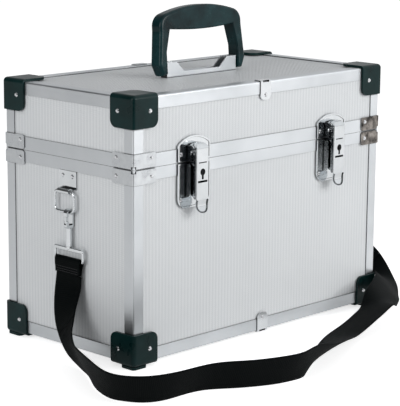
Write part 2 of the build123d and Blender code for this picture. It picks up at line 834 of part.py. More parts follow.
with BuildPart() as handle_bracket:
    with BuildSketch(Plane.XZ) as bracket_side:
        with BuildLine():
            Polyline(
                (-bracket_end, lid_face),
                (-bracket_end, lid_face + handle_bracket_end),
                (-bracket_end + handle_bracket_step, lid_face + handle_bracket_end),
                (-bracket_end + handle_bracket_step + handle_bracket_slope, lid_face + handle_bracket_middle),
                (bracket_end - handle_bracket_step - handle_bracket_slope, lid_face + handle_bracket_middle),
                (bracket_end - handle_bracket_step, lid_face + handle_bracket_end),
                (bracket_end, lid_face + handle_bracket_end),
                (bracket_end, lid_face),
                close=True,
            )
        make_face()
    extrude(amount=handle_bracket_depth / 2, both=True)
    with Locations((0, 0, lid_face + handle_bracket_sheet)):
        Box(
            2 * (bracket_end - handle_bracket_sheet),
            handle_bracket_depth - 2 * handle_bracket_sheet,
            handle_bracket_end,
            align=(Align.CENTER, Align.CENTER, Align.MIN),
            mode=Mode.SUBTRACT,
        )
    with Locations((0, 0, handle_pivot)):
        Cylinder(handle_pin_radius, 3 * bracket_end, rotation=(0, 90, 0), mode=Mode.SUBTRACT)
    for end in (-1, 1):
        rivet_hole(end * bracket_end / 2, 0, lid_face, "top", handle_bracket_sheet)
save(handle_bracket.part, "handle_bracket")

with BuildPart() as handle_pins:
    for end in (-1, 1):
        inner = bracket_end - handle_bracket_sheet
        outer = leg_inner + handle_pin_bite
        with Locations((end * (inner + outer) / 2, 0, handle_pivot)):
            Cylinder(handle_pin_radius, outer - inner, rotation=(0, 90, 0))
        with Locations((end * (inner - handle_pin_head / 2), 0, handle_pivot)):
            Cylinder(handle_pin_head_radius, handle_pin_head, rotation=(0, 90, 0))
save(handle_pins.part, "handle_pins")

# ================================================================ strap plates, rings, snap hooks and eyes
panel_face = half_w - flange
plate_top = seam - base_rim_height - strap_plate_below_rim
plate_low = plate_top - strap_plate_height
roll_inner = ring_wire + ring_loose
ring_top = plate_low - roll_inner
ring_low = ring_top - ring_height + 2 * ring_wire
slot_centre = -(hook_slot / 2 - roll_inner)
slot_end = slot_centre - hook_slot_length
barrel_top = slot_end - hook_neck
barrel_end = barrel_top - barrel_length
eye_top = barrel_end - swivel_gap - swivel_collar - eye_wire / 2
eye_low = eye_top - eye_height + 2 * eye_wire
eye_inner = strap_width + 2 * strap_edge_gap
gate_place = hook_slot / 2 + hook_arm / 2
hook_y = -hook_slide

for side, side_name in sides:
    face_x = side * panel_face
    hang_x = side * (panel_face + ring_offset)
    # Across the strap plate: first direction outwards, second up.
    across = Plane(origin=(face_x, 0, ring_top), x_dir=(side, 0, 0), z_dir=(0, -side, 0))
    hanging = Plane(origin=(hang_x, hook_y, ring_low), x_dir=(side, 0, 0), z_dir=(0, -side, 0))
    flat = Plane(origin=(hang_x, 0, ring_low), x_dir=(0, 1, 0), z_dir=(1, 0, 0))
    eye_flat = Plane(origin=(hang_x, hook_y, ring_low), x_dir=(0, 1, 0), z_dir=(1, 0, 0))

    with BuildPart() as strap_plate:
        with BuildSketch(across):
            with Locations((0, roll_inner)):
                Rectangle(strap_plate_sheet, strap_plate_height, align=low_corner)
        extrude(amount=strap_plate_width / 2, both=True)
        with BuildSketch(across):
            with Locations((0, roll_inner)):
                Rectangle(ring_offset, roll_sheet, align=low_corner)
            with Locations((ring_offset, 0)):
                Circle(roll_inner + roll_sheet)
                Circle(roll_inner, mode=Mode.SUBTRACT)
        extrude(amount=roll_width / 2, both=True)
        for along in (-1, 1):
            rivet_hole(
                face_x, along * strap_plate_rivet_across, plate_top - strap_plate_rivet_down, side_name, strap_plate_sheet
            )
    save(strap_plate.part, f"strap_plate_{side_name}")

    with BuildPart() as strap_ring:
        with BuildLine(flat) as ring_path:
            half_ring = ring_width / 2 - ring_wire
            rise = ring_top - ring_low
            FilletPolyline((0, 0), (half_ring, 0), (half_ring, rise), (0, rise), radius=ring_corner)
        with BuildSketch(Plane(origin=(hang_x, 0, ring_low), z_dir=(0, 1, 0))):
            Circle(ring_wire)
        sweep()
        mirror(about=Plane.XZ)
    save(strap_ring.part, f"strap_ring_{side_name}")

    with BuildPart() as snap_hook:
        with BuildSketch(hanging) as hook_side:
            with Locations((0, slot_centre)):
                Circle(hook_slot / 2 + hook_arm)
                Rectangle(
                    hook_slot + 2 * hook_arm, slot_centre - barrel_top, align=(Align.CENTER, Align.MAX)
                )
            chamfer(hook_side.vertices().group_by(Axis.Y)[0], hook_taper)
            with Locations((0, slot_centre)):
                Circle(hook_slot / 2, mode=Mode.SUBTRACT)
                Rectangle(
                    hook_slot, hook_slot_length, align=(Align.CENTER, Align.MAX), mode=Mode.SUBTRACT
                )
            with Locations((hook_slot / 2, -hook_nose)):
                Rectangle(
                    2 * hook_arm, gate_root - hook_nose, align=(Align.MIN, Align.MAX), mode=Mode.SUBTRACT
                )
        extrude(amount=hook_thickness / 2, both=True)
        with BuildSketch(hanging) as root_slot:
            with Locations((hook_slot / 2, -gate_root)):
                Rectangle(
                    2 * hook_arm,
                    gate_pivot + gate_sheet - gate_root,
                    align=(Align.MIN, Align.MAX),
                )
            with Locations((gate_place, -gate_pivot)):
                Circle(gate_sheet / 2 + gate_gap)
        extrude(amount=gate_width / 2 + gate_gap, both=True, mode=Mode.SUBTRACT)
        with BuildSketch(hanging):
            with Locations((gate_place, -gate_pivot)):
                Circle(gate_pin_radius + pin_running)
        extrude(amount=hook_thickness, both=True, mode=Mode.SUBTRACT)
        with Locations((hang_x, hook_y, ring_low + barrel_top)):
            Cylinder(barrel_radius, barrel_length, align=(Align.CENTER, Align.CENTER, Align.MAX))
        with Locations((hang_x, hook_y, ring_low + barrel_end)):
            Cylinder(
                swivel_stem_radius + pin_running,
                swivel_stem + swivel_gap,
                align=(Align.CENTER, Align.CENTER, Align.MIN),
                mode=Mode.SUBTRACT,
            )
    save(snap_hook.part, f"snap_hook_{side_name}")

    with BuildPart() as snap_gate:
        with BuildSketch(hanging):
            with Locations((gate_place, -gate_pivot)):
                Circle(gate_sheet / 2)
                Rectangle(gate_sheet, gate_pivot - hook_nose - gate_gap, align=(Align.CENTER, Align.MIN))
        extrude(amount=gate_width / 2, both=True)
        with BuildSketch(hanging):
            with Locations((gate_place, -gate_pivot)):
                Circle(gate_pin_radius)
        extrude(amount=hook_thickness / 2, both=True)
    save(snap_gate.part, f"snap_gate_{side_name}")

    with BuildPart() as swivel_eye:
        with BuildLine(eye_flat):
            half_eye = eye_inner / 2 + eye_wire
            FilletPolyline(
                (0, eye_low), (half_eye, eye_low), (half_eye, eye_top), (0, eye_top), radius=eye_corner
            )
        with BuildSketch(Plane(origin=(hang_x, hook_y, ring_low + eye_low), z_dir=(0, 1, 0))):
            Circle(eye_wire)
        sweep()
        mirror(about=Plane.XZ.offset(hook_slide))
        with Locations((hang_x, hook_y, ring_low + eye_top)):
            Cylinder(
                swivel_collar_radius,
                swivel_collar + eye_wire / 2,
                align=(Align.CENTER, Align.CENTER, Align.MIN),
            )
            Cylinder(
                swivel_stem_radius,
                barrel_end + swivel_stem - eye_top,
                align=(Align.CENTER, Align.CENTER, Align.MIN),
            )
    save(swivel_eye.part, f"swivel_eye_{side_name}")

    with BuildPart() as strap_loop:
        bar_inner = eye_wire + ring_loose
        bar_outer = bar_inner + strap_thickness
        with BuildSketch(hanging):
            with Locations((0, eye_low)):
                Circle(bar_outer)
            with BuildLine():
                Polyline(
                    (bar_outer, eye_low),
                    (strap_thickness, eye_low - strap_stitch),
                    (strap_thickness, eye_low - strap_loop_length),
                    (-strap_thickness, eye_low - strap_loop_length),
                    (-strap_thickness, eye_low - strap_stitch),
                    (-bar_outer, eye_low),
                    close=True,
                )
            make_face()
            with Locations((0, eye_low)):
                Circle(bar_inner, mode=Mode.SUBTRACT)
            with BuildLine():
                Polyline(
                    (bar_inner, eye_low), (0, eye_low - strap_stitch), (-bar_inner, eye_low), close=True
                )
            make_face(mode=Mode.SUBTRACT)
        extrude(amount=strap_width / 2, both=True)
    save(strap_loop.part, f"strap_loop_{side_name}")

# ================================================================ rivets
def corner_rivets(across, out, z):
    """Rivets on both faces of every corner, held off the case by the sheet they go through."""
    for x in (-1, 1):
        for y in (-1, 1):
            rivet(x * (half_w - across), y * (half_d + out), z, front_back[y], out)
            rivet(x * (half_w + out), y * (half_d - across), z, left_right[x], out)


with BuildPart() as base_rivets:
    corner_rivets(corner_rivet_across, corner_wall, bottom + corner_rivet_up)
    corner_rivets(bracket_rivet_across, bracket_sheet, seam - bracket_setback - base_bracket_rivet_down)
    for y in (-1, 1):
        rivet(0, y * (half_d + clip_sheet), bottom + clip_rivet_drop, front_back[y], clip_sheet)
    for x in (-1, 1):
        for across in (-1, 1):
            rivet(
                x * hinge_spread + across * hinge_length / 3,
                half_d + hinge_sheet,
                seam - (leaf_relief + leaf_height) / 2,
                "back",
                hinge_sheet,
            )
            rivet(
                x * latch_spread + across * latch_rivet_across,
                -plate_face,
                seam - base_plate_rivet_down,
                "front",
                latch_sheet,
            )
            rivet(
                x * (panel_face + strap_plate_sheet),
                across * strap_plate_rivet_across,
                plate_top - strap_plate_rivet_down,
                left_right[x],
                strap_plate_sheet,
            )
save(base_rivets.part, "base_rivets")

with BuildPart() as lid_rivets:
    corner_rivets(corner_rivet_across, corner_wall, top - corner_rivet_up)
    corner_rivets(bracket_rivet_across, bracket_sheet, lid_bottom + bracket_setback + lid_bracket_rivet_up)
    for y in (-1, 1):
        rivet(0, y * (half_d + clip_sheet), top - clip_rivet_drop, front_back[y], clip_sheet)
    for x in (-1, 1):
        for across in (-1, 1):
            rivet(
                x * hinge_spread + across * hinge_length / 3,
                half_d + hinge_sheet,
                lid_bottom + (leaf_relief + leaf_height) / 2,
                "back",
                hinge_sheet,
            )
            rivet(
                x * latch_spread + across * latch_rivet_across,
                -plate_face,
                lid_bottom + lid_plate_rivet_up,
                "front",
                latch_sheet,
            )
        rivet(
            x * bracket_end / 2,
            0,
            lid_face + handle_bracket_sheet,
            "top",
            handle_bracket_sheet,
        )
save(lid_rivets.part, "lid_rivets")

# ================================================================ strap
# Stations along the strap from the left eye to the right one: middle of the band, and the
# direction across it. The band stands on one edge, turns over in front of the case, and rises
# round the front right corner.
right = panel_face + ring_offset
left = -right
front = -half_d
loop_end = ring_low + eye_low - strap_loop_length
strap_end = loop_end - strap_joint
below_eye = loop_end - strap_loop_length
ground = floor_level + strap_thickness
strap_run = (
    ((left, hook_y, strap_end), (0, 1, 0)),
    ((left - 1, hook_y + 1, below_eye), (0, 1, 0)),
    ((left - 15, hook_y - 9, loop_end / 2), (0.12, 0.96, -0.27)),
    ((left - 27, hook_y - 29, loop_end / 4), (0.29, 0.75, -0.59)),
    ((left - 40, front + 47, ground + 17), (0.5, 0.4, -0.77)),
    ((left - 57, front + 19, ground + 17), (0.55, 0.16, -0.82)),
    ((left - 82, front - 24, ground + 18), (0.43, 0.18, -0.88)),
    ((left - 97, front - 71, ground + 17), (0.45, 0.38, -0.81)),
    ((left - 82, front - 100, ground + 17), (0.28, 0.48, -0.83)),
    ((left - 52, front - 116, ground + 18), (0.1, 0.51, -0.85)),
    ((left - 2, front - 121, ground + 20), (0.05, 0.54, -0.84)),
    ((left + 42, front - 144, ground + 18), (0.07, 0.52, -0.85)),
    ((left + 90, front - 164, ground + 18), (0.08, 0.48, -0.87)),
    ((left + 123, front - 161, ground + 18), (0.25, 0.45, -0.86)),
    ((-67, front - 148, ground + 15), (0.13, 0.7, -0.7)),
    ((-34, front - 133, ground + 12), (-0.16, 0.81, -0.56)),
    ((-3, front - 113, ground + 9), (-0.28, 0.88, -0.38)),
    ((46, front - 87, ground + 4), (-0.16, 0.97, -0.17)),
    ((98, front - 69, ground + 4), (0.14, 0.98, -0.14)),
    ((128, front - 55, ground + 4), (0.42, 0.9, 0.13)),
    ((right - 67, front - 46, ground + 16), (0.22, 0.63, 0.75)),
    ((right - 35, front - 33, ground + 21), (0.02, 0.15, 0.99)),
    ((right - 3, front - 13, ground + 20), (-0.19, 0.26, 0.95)),
    ((right + 11, front - 3, ground + 19), (-0.42, 0.47, 0.78)),
    ((right + 23, front + 7, ground + 21), (-0.68, 0.63, 0.38)),
    ((right + 32, front + 21, ground + 25), (-0.74, 0.67, -0.07)),
    ((right + 43, front + 50, ground + 44), (-0.43, 0.66, -0.61)),
    ((right + 27, hook_y - 22, loop_end * 0.64), (-0.06, 0.82, -0.57)),
    ((right, hook_y, below_eye), (0, 1, 0)),
    ((right, hook_y, strap_end), (0, 1, 0)),
)
points = [Vector(*place) for place, turned in strap_run]
runs = [after - before for before, after in zip(points[:-2], points[2:])]
runs = [Vector(0, 0, -1)] + runs + [Vector(0, 0, 1)]
bands = []
for point, run, (place, turned) in zip(points, runs, strap_run):
    across = Vector(*turned).normalized()
    facing_on = run - across * run.dot(across)
    with BuildSketch(Plane(origin=point, x_dir=across, z_dir=facing_on)) as band:
        Rectangle(strap_width, strap_thickness)
    bands.append(band.sketch)
with BuildPart() as strap_webbing:
    for before, after in zip(bands[:-1], bands[1:]):
        loft([before, after], ruled=True)
save(strap_webbing.part, "strap_webbing")
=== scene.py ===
import json
import math

import bmesh
import bpy
from mathutils import Matrix, Vector


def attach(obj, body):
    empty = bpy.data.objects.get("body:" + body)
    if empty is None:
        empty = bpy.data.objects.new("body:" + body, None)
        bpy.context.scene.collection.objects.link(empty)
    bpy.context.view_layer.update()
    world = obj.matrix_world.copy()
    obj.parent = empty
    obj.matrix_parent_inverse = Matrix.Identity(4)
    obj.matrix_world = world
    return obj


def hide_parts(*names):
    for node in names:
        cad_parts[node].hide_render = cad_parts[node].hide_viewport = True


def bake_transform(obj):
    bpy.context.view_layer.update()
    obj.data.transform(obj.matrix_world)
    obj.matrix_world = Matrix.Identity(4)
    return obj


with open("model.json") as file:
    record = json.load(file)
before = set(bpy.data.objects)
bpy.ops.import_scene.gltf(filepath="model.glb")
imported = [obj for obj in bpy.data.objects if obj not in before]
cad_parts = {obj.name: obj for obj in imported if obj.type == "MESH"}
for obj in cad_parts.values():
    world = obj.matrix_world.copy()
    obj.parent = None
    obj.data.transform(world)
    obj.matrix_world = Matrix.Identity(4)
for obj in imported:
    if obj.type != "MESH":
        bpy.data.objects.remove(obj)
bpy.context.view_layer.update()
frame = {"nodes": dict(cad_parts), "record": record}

nodes = frame["nodes"]
FLOOR = -0.0075


# ---------------------------------------------------------------- node helpers
def graph(owner):
    """An empty node tree on a material or world, with a short helper to fill it."""
    owner.use_nodes = True
    tree = owner.node_tree
    tree.nodes.clear()

    def add(kind, inputs=None, **settings):
        node = tree.nodes.new(kind)
        for key, value in settings.items():
            setattr(node, key, value)
        for key, value in (inputs or {}).items():
            socket = node.inputs[key]
            if isinstance(value, bpy.types.NodeSocket):
                tree.links.new(value, socket)
            else:
                socket.default_value = value
        return node

    return tree, add


def maths(add, operation, *values):
    return add("ShaderNodeMath", dict(enumerate(values)), operation=operation).outputs[0]


def split(add, vector):
    return add("ShaderNodeSeparateXYZ", {0: vector}).outputs


def ramp(add, value, low, high, out_low, out_high, **settings):
    inputs = {"Value": value, "From Min": low, "From Max": high, "To Min": out_low, "To Max": out_high}
    return add("ShaderNodeMapRange", inputs, **settings).outputs[0]


# ---------------------------------------------------------------- camera, floor and light
CAMERA_PLACE = (-1.5072, -1.4708, 0.5702)
CAMERA_AZIMUTH, CAMERA_ELEVATION, CAMERA_ROLL = -45.77, 11.55, 0.445
CAMERA_LENS, CAMERA_SENSOR, CAMERA_REACH = 152.99, 36.0, 60.0
LAMP_TARGET = (0, 0, 0.15)
FLOOR_REACH = 12.0


def link(thing):
    bpy.context.scene.collection.objects.link(thing)


def make_camera():
    """The photograph's view: a long lens, a little above the case, looking at its front left edge."""
    azimuth = math.radians(CAMERA_AZIMUTH)
    elevation = math.radians(CAMERA_ELEVATION)
    roll = math.radians(CAMERA_ROLL)
    level = math.cos(elevation)
    back = Vector((math.sin(azimuth) * level, -math.cos(azimuth) * level, math.sin(elevation)))
    right = Vector((math.cos(azimuth), math.sin(azimuth), 0))
    up = back.cross(right)
    right, up = (
        right * math.cos(roll) + up * math.sin(roll),
        up * math.cos(roll) - right * math.sin(roll),
    )
    data = bpy.data.cameras.new("camera")
    data.lens = CAMERA_LENS
    data.sensor_width = CAMERA_SENSOR
    data.clip_end = CAMERA_REACH
    camera = bpy.data.objects.new("camera", data)
    link(camera)
    turn = Matrix((right, up, back)).transposed().to_4x4()
    camera.matrix_world = Matrix.Translation(CAMERA_PLACE) @ turn
    bpy.context.scene.camera = camera


def make_world():
    """White behind the object; softer light on it, brighter from the front right than the back left."""
    world = bpy.data.worlds.new("studio")
    bpy.context.scene.world = world
    _, add = graph(world)

    def background(colour, strength):
        return add("ShaderNodeBackground", {"Color": (*colour, 1), "Strength": strength}).outputs[0]

    path = add("ShaderNodeLightPath").outputs
    direction = split(add, add("ShaderNodeTexCoord").outputs["Generated"])
    front_right = maths(add, "SUBTRACT", direction[0], direction[1])
    side = ramp(add, front_right, -1.4, 1.0, 0.06, 0.9, interpolation_type="SMOOTHSTEP")
    seen = background((1, 1, 1), 1.0)
    mirrored = background((0.97, 0.985, 1), side)
    light = background((0.98, 0.99, 1), 0.42)
    glossy = add("ShaderNodeMixShader", {0: path["Is Glossy Ray"], 1: light, 2: mirrored}).outputs[0]
    clear = maths(add, "MAXIMUM", path["Is Camera Ray"], path["Is Transmission Ray"])
    whole = add("ShaderNodeMixShader", {0: clear, 1: glossy, 2: seen}).outputs[0]
    add("ShaderNodeOutputWorld", {0: whole})


def make_lamp(name, spot, size, energy):
    """A rectangular studio lamp that looks at the middle of the case."""
    data = bpy.data.lights.new(name, "AREA")
    data.shape = "RECTANGLE"
    data.size, data.size_y = size
    data.energy = energy
    lamp = bpy.data.objects.new(name, data)
    link(lamp)
    lamp.location = spot
    lamp.rotation_euler = (Vector(LAMP_TARGET) - Vector(spot)).to_track_quat("-Z", "Y").to_euler()


def make_floor():
    """A floor as white as the backdrop, which keeps the object's shadow."""
    mesh = bpy.data.meshes.new("floor")
    corners = ((-1, -1), (1, -1), (1, 1), (-1, 1))
    mesh.from_pydata([(x * FLOOR_REACH, y * FLOOR_REACH, FLOOR) for x, y in corners], [], [(0, 1, 2, 3)])
    floor = bpy.data.objects.new("floor", mesh)
    link(floor)
    material = bpy.data.materials.new("floor_white")
    _, add = graph(material)
    path = add("ShaderNodeLightPath").outputs
    paper = add("ShaderNodeBsdfDiffuse", {"Color": (0.86, 0.86, 0.86, 1)}).outputs[0]
    mirrored = maths(add, "MULTIPLY", path["Is Glossy Ray"], 0.2)
    lift = maths(add, "MULTIPLY_ADD", path["Is Camera Ray"], 0.68, mirrored)
    glow = add("ShaderNodeEmission", {"Color": (1, 1, 1, 1), "Strength": lift}).outputs[0]
    both = add("ShaderNodeAddShader", {0: paper, 1: glow}).outputs[0]
    add("ShaderNodeOutputMaterial", {"Surface": both})
    mesh.materials.append(material)


def make_flag(name, spot, facing, size):
    """A black card that only polished metal sees, as in a product studio."""
    bm = bmesh.new()
    bmesh.ops.create_grid(bm, x_segments=1, y_segments=1, size=0.5)
    mesh = bpy.data.meshes.new(name)
    bm.to_mesh(mesh)
    bm.free()
    material = bpy.data.materials.new("flag_black")
    _, add = graph(material)
    dark = add("ShaderNodeEmission", {"Color": (0.02, 0.025, 0.03, 1), "Strength": 0.4}).outputs[0]
    add("ShaderNodeOutputMaterial", {"Surface": dark})
    mesh.materials.append(material)
    flag = bpy.data.objects.new(name, mesh)
    link(flag)
    turn = Vector(facing).to_track_quat("Z", "Y").to_matrix().to_4x4()
    flag.matrix_world = Matrix.Translation(spot) @ turn @ Matrix.Diagonal((*size, 1, 1))
    flag.visible_camera = False
    flag.visible_diffuse = False
    flag.visible_shadow = False


# ---------------------------------------------------------------- materials
# Nearly all of a noise lies between these two values.
NOISE_LOW, NOISE_HIGH = 0.3, 0.7
# Colour of the painted shade that darkens crevices between pieces.
CREVICE_SHADE = (0.02, 0.022, 0.024, 1)
# The panels' upright ribs, and the grains across and along them, in metres.
RIB_PITCH, GRAIN_ACROSS, GRAIN_ALONG = 0.0052, 0.0026, 0.0024
# The webbing's threads along the band and across it, in metres.
WARP_PITCH, PICK_PITCH = 0.0017, 0.0022
# Where the stain of the front right seam plates begins and is whole, in x and in y.
STAIN_X, STAIN_Y = (0.178, 0.182), (-0.088, -0.096)


def material_with(name, base, metallic, roughness, specular, build):
    """A Principled material; build(add) gives what varies: its colour, roughness and normal."""
    material = bpy.data.materials.new(name)
    material.diffuse_color = (*base, 1)
    tree, add = graph(material)
    shader = add(
        "ShaderNodeBsdfPrincipled",
        {
            "Base Color": (*base, 1),
            "Metallic": metallic,
            "Roughness": roughness,
            "Specular IOR Level": specular,
        },
    )
    for socket, value in build(add).items():
        tree.links.new(value, shader.inputs[socket])
    add("ShaderNodeOutputMaterial", {"Surface": shader.outputs[0]})
    return material


def place(add):
    """Where a point is in its piece's own frame, in metres."""
    return add("ShaderNodeTexCoord").outputs["Object"]


def noise(add, scale, detail):
    inputs = {"Vector": place(add), "Scale": scale, "Detail": detail}
    return add("ShaderNodeTexNoise", inputs).outputs[0]


def wave(add, value, pitch):
    return maths(add, "SINE", maths(add, "MULTIPLY", value, math.tau / pitch))


def bump(add, height, strength, distance):
    inputs = {"Height": height, "Strength": strength, "Distance": distance}
    return add("ShaderNodeBump", inputs).outputs[0]


def mixed(add, share, first, second):
    inputs = {"Factor": share, "A": first, "B": second}
    return add("ShaderNodeMix", inputs, data_type="RGBA").outputs[2]


def spread(add, value, low, high):
    """A noise spread between two numbers."""
    return ramp(add, value, NOISE_LOW, NOISE_HIGH, low, high)


def two_tone(add, value, dark, light):
    """A noise spread between two colours."""
    node = add("ShaderNodeValToRGB", {0: value})
    ends = ((NOISE_LOW, dark), (NOISE_HIGH, light))
    for element, (position, colour) in zip(node.color_ramp.elements, ends):
        element.position = position
        element.color = (*colour, 1)
    return node.outputs[0]


def shaded_edge(add, colour, reach, depth, darkest=0.4, clear=0.9):
    """The colour, darkened by painted shade in the crevices that lie within reach of another piece."""
    near = add("ShaderNodeAmbientOcclusion", {"Distance": reach}).outputs["AO"]
    return mixed(add, ramp(add, near, darkest, clear, depth, 1.0), CREVICE_SHADE, colour)


def worn_and_highlit_edge(add, colour, wear_and_highlight, reach):
    """The colour, lighter along the piece's own outer edges: rubbed wear and a painted highlight."""
    inner = add("ShaderNodeAmbientOcclusion", {"Distance": reach}, inside=True).outputs["AO"]
    return mixed(add, ramp(add, inner, 0.35, 0.75, 0.6, 0.0), colour, (*wear_and_highlight, 1))


def satin_aluminium(add):
    """Satin anodised extrusion, a little cloudy, shaded along its seams."""
    cloud = noise(add, 14, 3)
    satin = two_tone(add, cloud, (0.63, 0.655, 0.675), (0.725, 0.745, 0.765))
    return {
        "Base Color": shaded_edge(add, satin, 0.0035, 0.0, darkest=0.5, clear=0.85),
        "Roughness": spread(add, cloud, 0.34, 0.44),
        "Normal": bump(add, noise(add, 900, 3), 0.12, 0.0001),
    }


def embossed_panel(add):
    """Light-grey sheet with upright ribs, each a row of fine raised grains; its colour carries painted
    light and shade along the ribs and painted shade in its crevices.
    """
    spot = split(add, place(add))
    normal = split(add, add("ShaderNodeNewGeometry").outputs["Normal"])
    lying = maths(add, "ABSOLUTE", normal[2])
    standing = maths(add, "LESS_THAN", lying, 0.5)
    across = maths(add, "ADD", spot[0], maths(add, "MULTIPLY", spot[1], standing))
    along = maths(add, "SUBTRACT", spot[2], spot[1])
    ribs = wave(add, across, RIB_PITCH)
    grains = maths(add, "MULTIPLY", wave(add, across, GRAIN_ACROSS), wave(add, along, GRAIN_ALONG))
    relief = maths(add, "MULTIPLY_ADD", ribs, 0.7, grains)
    # Painted light and shade of the ribs, in patches, mixed into the sheet's random tone.
    painted_rib_shade = maths(add, "MULTIPLY", ribs, noise(add, 18, 2))
    tone = maths(add, "MULTIPLY_ADD", painted_rib_shade, 0.5, noise(add, 6, 3))
    sheet = two_tone(add, tone, (0.665, 0.685, 0.70), (0.735, 0.752, 0.765))
    return {
        "Base Color": shaded_edge(add, sheet, 0.002, 0.55),
        "Roughness": ramp(add, grains, -1, 1, 0.4, 0.52),
        "Normal": bump(add, relief, ramp(add, lying, 0, 1, 0.3, 0.9), 0.0003),
    }


def moulded_black(add):
    """Greenish black plastic of the corner guards, with a fine grain and edges lighter from rubbed wear and
    a painted highlight.
    """
    cloud = noise(add, 40, 2)
    plain = two_tone(add, cloud, (0.001, 0.012, 0.012), (0.003, 0.022, 0.022))
    return {
        "Base Color": worn_and_highlit_edge(add, plain, (0.03, 0.045, 0.05), 0.0015),
        "Roughness": spread(add, cloud, 0.26, 0.36),
        "Normal": bump(add, noise(add, 1800, 2), 0.15, 0.0001),
    }


def handle_black(add):
    """The handle's plastic: more mottled, smoother and with a finer, deeper grain; its edges lighter from
    rubbed wear and a painted highlight.
    """
    cloud = noise(add, 45, 5)
    plain = two_tone(add, cloud, (0.0005, 0.008, 0.010), (0.005, 0.036, 0.040))
    return {
        "Base Color": worn_and_highlit_edge(add, plain, (0.02, 0.032, 0.036), 0.002),
        "Roughness": spread(add, cloud, 0.2, 0.3),
        "Normal": bump(add, noise(add, 2400, 2), 0.3, 0.00012),
    }


def plated(add):
    """Chrome plate, slightly smeared and not quite flat, with painted shade in its crevices."""
    smear = noise(add, 60, 3)
    silver = two_tone(add, smear, (0.70, 0.725, 0.74), (0.78, 0.80, 0.815))
    return {
        "Base Color": shaded_edge(add, silver, 0.0035, 0.0),
        "Roughness": spread(add, smear, 0.06, 0.13),
        "Normal": bump(add, noise(add, 130, 1), 0.05, 0.0002),
    }


def zinc(add):
    smear = noise(add, 90, 3)
    return {
        "Base Color": two_tone(add, smear, (0.70, 0.71, 0.73), (0.80, 0.81, 0.82)),
        "Roughness": spread(add, smear, 0.14, 0.26),
    }


# Dark plated metal; on the hasp tab lips it is a painted dark reflection and shade along the rim.
def dark_plate(add):
    return {"Base Color": two_tone(add, noise(add, 200, 2), (0.05, 0.056, 0.06), (0.14, 0.15, 0.155))}


def bracket_plate(add):
    """Dull plate, browned by age at the seam's front right corner, with painted shade in its crevices."""
    smear = noise(add, 120, 3)
    clean = two_tone(add, smear, (0.56, 0.58, 0.60), (0.68, 0.70, 0.715))
    stained = two_tone(add, noise(add, 130, 3), (0.002, 0.002, 0.002), (0.39, 0.355, 0.325))
    spot = split(add, place(add))
    right = ramp(add, spot[0], *STAIN_X, 0.0, 1.0)
    front = ramp(add, spot[1], *STAIN_Y, 0.0, 1.0)
    plate = mixed(add, maths(add, "MULTIPLY", right, front), clean, stained)
    return {
        "Base Color": shaded_edge(add, plate, 0.002, 0.3),
        "Roughness": spread(add, smear, 0.24, 0.4),
    }


def blackened(add):
    smear = noise(add, 300, 2)
    return {"Base Color": two_tone(add, smear, (0.012, 0.012, 0.013), (0.035, 0.035, 0.037))}


def thread(add):
    twist = noise(add, 2500, 1)
    return {
        "Base Color": two_tone(add, twist, (0.018, 0.018, 0.02), (0.045, 0.045, 0.05)),
        "Normal": bump(add, twist, 0.4, 0.0002),
    }


def webbing(add):
    """Plain weave from the run and cross distances that the band's mesh carries, in metres."""
    spot = split(add, add("ShaderNodeAttribute", attribute_name="weave").outputs["Vector"])
    warps = wave(add, spot[1], WARP_PITCH)
    picks = wave(add, spot[0], PICK_PITCH)
    raised = maths(add, "ADD", maths(add, "MULTIPLY", warps, picks), warps)
    fuzz = noise(add, 1500, 2)
    return {
        "Base Color": two_tone(add, fuzz, (0.0004, 0.0012, 0.0014), (0.0014, 0.0028, 0.003)),
        "Roughness": ramp(add, raised, -2, 2, 0.75, 0.5),
        "Normal": bump(add, raised, 0.5, 0.0002),
    }


# Name, plain colour, metallic, roughness, specular level and the function for what varies.
MATERIAL_ROWS = (
    ("satin_aluminium", (0.74, 0.75, 0.76), 1.0, 0.3, 0.5, satin_aluminium),
    ("textured_panel", (0.64, 0.64, 0.645), 0.0, 0.45, 0.5, embossed_panel),
    ("black_plastic", (0.012, 0.02, 0.024), 0.0, 0.3, 0.18, moulded_black),
    ("chrome", (0.82, 0.83, 0.85), 1.0, 0.08, 0.5, plated),
    ("bright_steel", (0.62, 0.63, 0.64), 1.0, 0.25, 0.5, zinc),
    ("handle_plastic", (0.02, 0.03, 0.036), 0.0, 0.4, 0.22, handle_black),
    ("bracket_steel", (0.6, 0.61, 0.63), 1.0, 0.3, 0.5, bracket_plate),
    ("blackened_steel", (0.02, 0.02, 0.022), 1.0, 0.4, 0.5, blackened),
    ("dark_plate", (0.1, 0.11, 0.115), 1.0, 0.18, 0.5, dark_plate),
    ("thread", (0.02, 0.022, 0.024), 0.0, 0.5, 0.3, thread),
    ("webbing", (0.010, 0.010, 0.011), 0.0, 0.6, 0.05, webbing),
)
MATERIALS = {row[0]: material_with(*row) for row in MATERIAL_ROWS}


def dress_nodes():
    """Every carried-over CAD node takes the material of its slot."""
    slots = {entry["node"]: entry["material_slot"] for entry in frame["record"]["subparts"]}
    for name, piece in nodes.items():
        piece.data.materials.clear()
        piece.data.materials.append(MATERIALS[slots[name]])


# ---------------------------------------------------------------- mesh helpers
def new_piece(name, bm, body, slot, material=None):
    """A new object from a filled bmesh, riding a body where one is given."""
    mesh = bpy.data.meshes.new(name)
    bm.to_mesh(mesh)
    bm.free()
    for polygon in mesh.polygons:
        polygon.use_smooth = True
    mesh.materials.append(MATERIALS[material or slot])
    piece = bpy.data.objects.new(name, mesh)
    link(piece)
    if body:
        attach(piece, body)
    return piece


def ring(bm, middle, first, second, radius, sides):
    """A circle of vertices about a point, in the plane of two unit directions."""
    turns = (math.tau * k / sides for k in range(sides))
    return [bm.verts.new(middle + (first * math.cos(a) + second * math.sin(a)) * radius) for a in turns]


def skin(bm, rows):
    """A tube with closed ends through rows of equally many vertices."""
    count = len(rows[0])
    for before, after in zip(rows[:-1], rows[1:]):
        for k in range(count):
            bm.faces.new((before[k], before[(k + 1) % count], after[(k + 1) % count], after[k]))
    bm.faces.new(rows[0][::-1])
    bm.faces.new(rows[-1])


